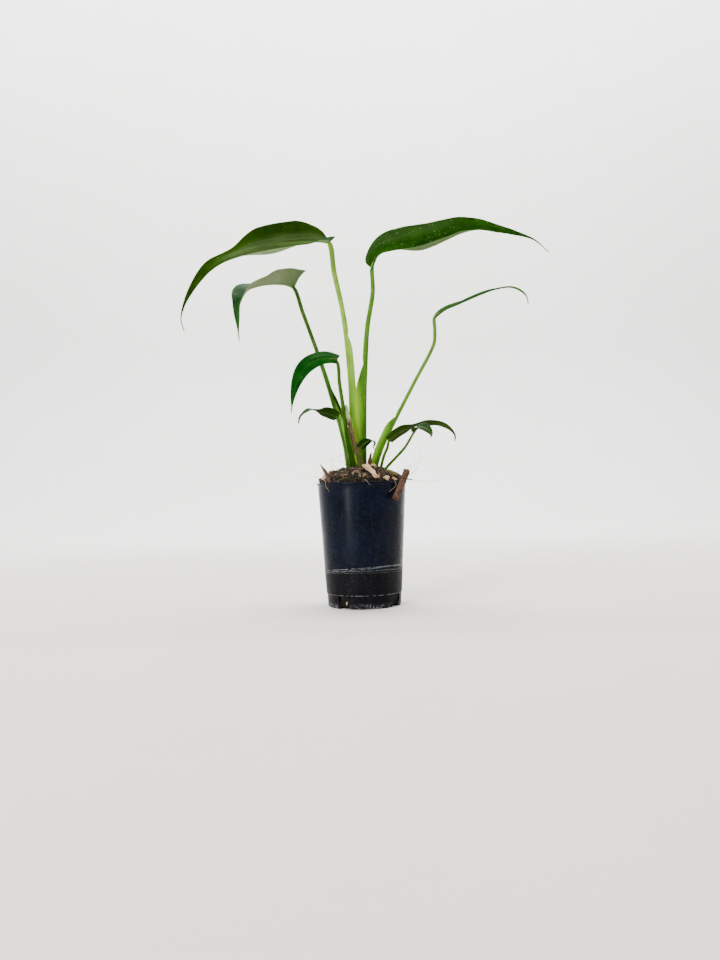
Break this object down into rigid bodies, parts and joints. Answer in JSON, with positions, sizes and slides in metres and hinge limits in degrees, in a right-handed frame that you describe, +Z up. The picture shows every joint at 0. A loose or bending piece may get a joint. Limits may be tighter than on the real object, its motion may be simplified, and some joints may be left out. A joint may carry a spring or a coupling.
{
  "type": "potted flame-leaved monstera",
  "caption": "Young aroid house plant with long arching leaves on sheathed stalks, rooted in a bark and soil heap in a small round nursery pot.",
  "frame": {"origin": "centre of the flat underside of the pot", "axes": "+Z up along the pot's axis, +X to the right seen from the plant's front, +Y to the back"},
  "size_m": [0.2776, 0.0724, 0.3044],
  "materials": {
    "pot": "satin injection-moulded plastic with limescale lines",
    "soil": "coarse dark bark and fibre mix",
    "crown_and_roots": "matt pale root skin",
    "leaf_blade": "satin dark green above, grey-green below",
    "leaf_stalk": "smooth satin green, paler along the sheaths",
    "dried_sheath": "dry, papery and fibrous",
    "surface_root": "matt greenish-brown root bark",
    "bark": "rough red-brown bark",
    "wood_chip": "raw split wood"
  },
  "bodies": {
    "root": {"pot": "pot", "soil": "soil", "crown_and_roots": "crown_and_roots", "stalk_upper_left": "leaf_stalk", "blade_upper_left": "leaf_blade", "stalk_upper_right": "leaf_stalk", "blade_upper_right": "leaf_blade", "stalk_middle_left": "leaf_stalk", "blade_middle_left": "leaf_blade", "stalk_low_left": "leaf_stalk", "blade_low_left": "leaf_blade", "stalk_lowest_left": "leaf_stalk", "blade_lowest_left": "leaf_blade", "stalk_middle_right": "leaf_stalk", "blade_middle_right": "leaf_blade", "stalk_low_right_long": "leaf_stalk", "blade_low_right_long": "leaf_blade", "stalk_low_right_short": "leaf_stalk", "blade_low_right_short": "leaf_blade", "stalk_centre_front": "leaf_stalk", "blade_centre_front": "leaf_blade", "dried_sheath_left": "dried_sheath", "dried_sheath_right": "dried_sheath", "surface_root": "surface_root", "bark_splinter": "bark", "thin_twig": "bark", "bark_tube": "bark", "chip_long": "wood_chip", "chip_pink": "wood_chip", "chip_orange": "wood_chip", "chip_pale": "wood_chip", "chip_left": "wood_chip", "chip_back_left": "wood_chip", "chip_back": "wood_chip", "chip_back_right": "wood_chip", "chip_side_left": "wood_chip"}
  },
  "joints": []
}
